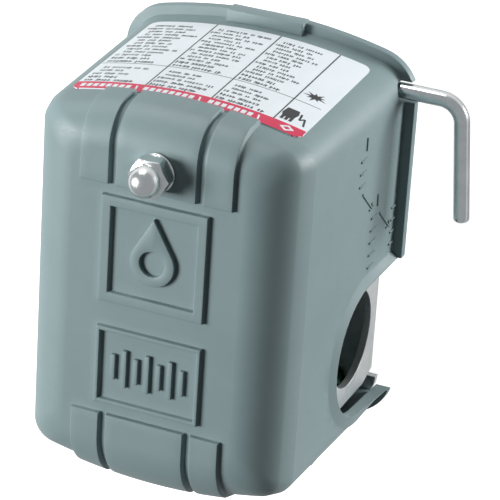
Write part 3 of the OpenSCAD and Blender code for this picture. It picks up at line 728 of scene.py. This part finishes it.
# ---------------------------------------------------------------- acorn nut
def acorn():
    """Flange disc, chamfered hexagon with flats facing +-Y, and a domed cap, bored for the stud."""
    n, flats, hex_h, dome_r, z0 = 144, 7.94, 4.4, 3.4, 0.7
    bore = 2.13
    loops = []

    def ring(rf, zf):
        loops.append([(rf(a) * math.cos(a), rf(a) * math.sin(a), zf(a))
                      for a in (2 * math.pi * k / n for k in range(n))])

    def hexa(a):
        q = (a + math.pi / 6) % (math.pi / 3) - math.pi / 6
        return flats / 2 / math.cos(q)

    def hx(a):
        return hexa(a + math.pi / 6)
    for r, z in ((bore, -0.0), (3.9, 0.0), (4.25, 0.12), (4.3, 0.35), (4.22, 0.6), (4.05, z0)):
        ring(lambda a, r=r: r, lambda a, z=z: z)
    cone = flats / 2 - 0.12
    ring(lambda a: min(hx(a), 4.35), lambda a: z0 + max(0, hx(a) - cone) * 0.55)
    for f in (0.35, 0.7):
        ring(hx, lambda a, f=f: z0 + 0.3 + (hex_h - z0 - 0.6) * f)
    ring(hx, lambda a: hex_h - max(0, hx(a) - cone) * 0.62)
    ring(lambda a: cone - 0.02, lambda a: hex_h)
    ring(lambda a: dome_r + 0.12, lambda a: hex_h + 0.03)
    ring(lambda a: dome_r, lambda a: hex_h + 0.16)
    ring(lambda a: dome_r, lambda a: hex_h + 0.7)
    for k in range(0, 17):
        q = math.radians(5.5 * k)
        ring(lambda a, q=q: dome_r * math.cos(q), lambda a, q=q: hex_h + 1 + (dome_r - 0.02) * math.sin(q))
    verts, faces = rings(loops, closed=False)
    last = (len(loops) - 1) * n
    verts.append((0, 0, hex_h + 1 + dome_r - 0.01))
    faces += [(last + k, last + (k + 1) % n, len(verts) - 1) for k in range(n)]
    m = len(verts)
    for r, z in ((bore, 5.2), (0.9, 6.4)):
        verts += [(r * math.cos(2 * math.pi * k / n), r * math.sin(2 * math.pi * k / n), z) for k in range(n)]
    verts.append((0, 0, 6.6))
    faces += [((k + 1) % n, k, m + k, m + (k + 1) % n) for k in range(n)]
    faces += [(m + (k + 1) % n, m + k, m + n + k, m + n + (k + 1) % n) for k in range(n)]
    faces += [(m + n + (k + 1) % n, m + n + k, len(verts) - 1) for k in range(n)]
    return [(x, y + RANGE_Y, z + TOP + PAD_H) for x, y, z in verts], faces


piece("acorn_nut", *acorn(), "cap_nut", "nickel", 24, replaces=("cap_nut",))

# ---------------------------------------------------------------- cut-off lever rod
SHAFT_END, BEND_X = -13.4, ARM_X + BEND_R
path, radii = [(SHAFT_END, CUT_Y, CUT_Z), (SHAFT_END - 0.4, CUT_Y, CUT_Z)], [ROD_R - 0.4, ROD_R]
path += [(SHAFT_END + (BEND_X - SHAFT_END) * k / 14, CUT_Y, CUT_Z) for k in range(1, 15)]
turn = math.radians(90 - ARM_SPLAY)
centre = Vector((BEND_X, CUT_Y + BEND_R, CUT_Z))
for k in range(1, 15):
    a = -math.pi / 2 - turn * k / 14
    path.append((centre.x + BEND_R * math.cos(a), centre.y + BEND_R * math.sin(a), CUT_Z))
a = -math.pi / 2 - turn
end = Vector(path[-1])
d = Vector((math.sin(a), -math.cos(a), 0))
reach = ARM_REACH - BEND_R
path += [tuple(end + d * reach * k / 10) for k in range(1, 10)]
path += [tuple(end + d * (reach - q)) for q in (0.75, 0.45, 0.15, 0.0)]
radii += [ROD_R] * (len(path) - len(radii) - 3) + [ROD_R - 0.12, ROD_R - 0.45, ROD_R - 0.75]
piece("lever_rod", *tube(path, radii, 40), "cutoff", "lever_rod", 40, replaces=("cutoff_lever",))


# ---------------------------------------------------------------- springs that follow both of their ends
def coil(cx, cy, z0, z1, r, wire, turns, steps=20, sides=10):
    """A closed-end coil from z0 to z1, as points and quads."""
    h = z1 - z0
    pts = []
    for i in range(int(turns * steps) + 1):
        u = i / steps
        z = (wire / 2 + wire * u if u < 1 else
             wire / 2 + h - wire - wire * (turns - u) if u > turns - 1 else
             wire / 2 + wire + (h - 3 * wire) * (u - 1) / (turns - 2))
        pts.append((cx + r * math.cos(2 * math.pi * u), cy + r * math.sin(2 * math.pi * u), z0 + z))
    return tube(pts, wire / 2, sides)


def spring(name, coils, body, replaces, low=None, high=None, z0=0.0, z1=1.0):
    """A spring whose bottom and top are carried by two bodies through hooks, in proportion to height."""
    o = piece(name, *joined(coils), body, "spring_steel", 60, replaces=replaces)
    for end, key in ((low, "low"), (high, "high")):
        if end is None:
            continue
        g = o.vertex_groups.new(name=key)
        for v in o.data.vertices:
            u = min(1.0, max(0.0, (v.co.z / MM - z0) / (z1 - z0)))
            g.add([v.index], u if key == "high" else 1 - u, "REPLACE")
        md = o.modifiers.new(key, "HOOK")
        md.object = frame["bodies"][end]
        md.vertex_group = key
        md.falloff_type = "NONE"
        md.matrix_inverse = frame["bodies"][end].matrix_world.inverted() @ o.matrix_world
    return o


spring("range_coil", [coil(0, RANGE_Y, LEVER_TOP, RANGE_SEAT_Z, 6.55, 1.9, 8)], "root", ("range_spring",),
       "lever", "range_seat", LEVER_TOP, RANGE_SEAT_Z)
spring("differential_coil", [coil(DIFF_X, 0, LEVER_TOP, DIFF_SEAT_Z, 4, 1.1, 7)], "root",
       ("differential_spring",), "lever", "differential_seat", LEVER_TOP, DIFF_SEAT_Z)
spring("toggle_coils", [coil(x, TOGGLE_Y, *TOGGLE_Z, 1.7, 0.5, 11, 16, 8) for x in (-TOGGLE_X, TOGGLE_X)],
       "root", ("toggle_springs",), "lever", "carrier", *TOGGLE_Z)
spring("contact_coils", [coil(x, BLADE_Y, *CONTACT_Z, 2.1, 0.5, 5, 16, 8) for x in (-BLADE_X, BLADE_X)],
       "carrier", ("contact_springs",))


# ---------------------------------------------------------------- studs with rolled threads
def threaded(cx, cy, z0, thread0, z1, r=2.08, pitch=0.794, n=20):
    """A stud whose surface from thread0 up carries a helical thread, with its collar and a chamfered tip."""
    rows = [(z0, r), (16.0, r), (16.0, 2.9), (18.0, 2.9), (18.2, 2.7), (18.2, r)]
    loops = [[(cx + q * math.cos(2 * math.pi * k / n), cy + q * math.sin(2 * math.pi * k / n), z)
              for k in range(n)] for z, q in rows]
    steps = int((z1 - thread0) / pitch * 5)
    for i in range(steps + 1):
        z = thread0 + (z1 - thread0) * i / steps
        tip = max(0.0, z - (z1 - 0.8)) * 0.7
        loop = []
        for k in range(n):
            ph = (z / pitch - k / n) % 1.0
            depth = 0.3 * abs(2 * ph - 1)
            q = r - depth * min(1, (z - thread0) / 0.8) - tip
            loop.append((cx + q * math.cos(2 * math.pi * k / n), cy + q * math.sin(2 * math.pi * k / n), z))
        loops.append(loop)
    return rings(loops)


piece("range_stud_rod", *threaded(0, RANGE_Y, STUD_Z0, 26, RANGE_STUD_Z1), "root", "zinc_screw", 50,
      replaces=("range_stud",))
piece("differential_stud_rod", *threaded(DIFF_X, 0, STUD_Z0, 24, DIFF_STUD_Z1), "root", "zinc_screw", 50,
      replaces=("differential_stud",))

# ---------------------------------------------------------------- floor, light, camera
floor_mat, nt, b = tree("studio_floor")
co = nt.nodes.new("ShaderNodeTexCoord").outputs["Object"]
mix = nt.nodes.new("ShaderNodeMix")
mix.data_type = "RGBA"
mix.inputs["A"].default_value = (0.50, 0.50, 0.50, 1)
mix.inputs["B"].default_value = (0.53, 0.53, 0.53, 1)
nt.links.new(noise(nt, co, 3.0), mix.inputs["Factor"])
nt.links.new(mix.outputs["Result"], b.inputs["Base Color"])
b.inputs["Roughness"].default_value = 0.9
b.inputs["Emission Color"].default_value = (1, 1, 1, 1)

def split_strength(nt, target, base, camera, glossy):
    """A strength that is base for diffuse light, more for what the lens sees, and more again in reflections."""
    path = nt.nodes.new("ShaderNodeLightPath")
    value = base
    for ray, extra in (("Is Camera Ray", camera), ("Is Glossy Ray", glossy)):
        m = nt.nodes.new("ShaderNodeMath")
        m.operation = "MULTIPLY_ADD"
        m.inputs[1].default_value = extra
        nt.links.new(path.outputs[ray], m.inputs[0])
        if isinstance(value, float):
            m.inputs[2].default_value = value
        else:
            nt.links.new(value, m.inputs[2])
        value = m.outputs["Value"]
    nt.links.new(value, target)


# the grey plane shows white to the lens, throws little light back on the switch, and is bright in the metal
split_strength(nt, b.inputs["Emission Strength"], 0.0, 1.0, 0.28)
S = 4.0
me = bpy.data.meshes.new("floor")
me.from_pydata([(-S, -S, 0), (S, -S, 0), (S, S, 0), (-S, S, 0)], [], [(0, 1, 2, 3)])
me.materials.append(floor_mat)
floor = bpy.data.objects.new("floor", me)
bpy.context.scene.collection.objects.link(floor)
floor.visible_shadow = False


def area(name, place, size, watts, target=(0, 0.01, 0.04), color=(1, 1, 1)):
    l = bpy.data.lights.new(name, "AREA")
    l.shape, l.size, l.energy, l.color = "SQUARE", size, watts, color
    o = bpy.data.objects.new(name, l)
    o.location = place
    o.rotation_euler = (Vector(target) - Vector(place)).to_track_quat("-Z", "Y").to_euler()
    bpy.context.scene.collection.objects.link(o)


# the side light stands under the floor, which casts no shadow
area("key", (0.62, -0.04, 0.68), 0.36, 10.0)
area("side", (-0.62, -0.16, -0.32), 0.30, 6.0, (0, 0.03, 0.05))
area("front", (0.28, -0.95, 0.04), 0.50, 4.9)

world = bpy.data.worlds.new("studio")
world.use_nodes = True
world.node_tree.nodes["Background"].inputs["Color"].default_value = (0.93, 0.97, 1.0, 1)
split_strength(world.node_tree, world.node_tree.nodes["Background"].inputs["Strength"], 0.05, 0.0, 0.30)
scene = bpy.context.scene
scene.world = world
scene.view_settings.view_transform = "Standard"

cam = bpy.data.cameras.new("camera")
SENSOR, FOCAL_PX, FRAME_PX = 36.0, 2982, 500
cam.sensor_width, cam.lens = SENSOR, SENSOR * FOCAL_PX / FRAME_PX
cam.clip_start, cam.clip_end = 0.01, 20
right, up, look = (Vector((-0.91677, -0.05961, -0.39494)), Vector((0.21819, -0.90297, -0.37019)),
                   Vector((0.33455, 0.42555, -0.84082)))
eye = bpy.data.objects.new("camera", cam)
eye.matrix_world = Matrix.Translation((-0.2206, -0.2588, 0.5766)) @ Matrix(
    (right, up, -look)).transposed().to_4x4()
scene.collection.objects.link(eye)
scene.camera = eye
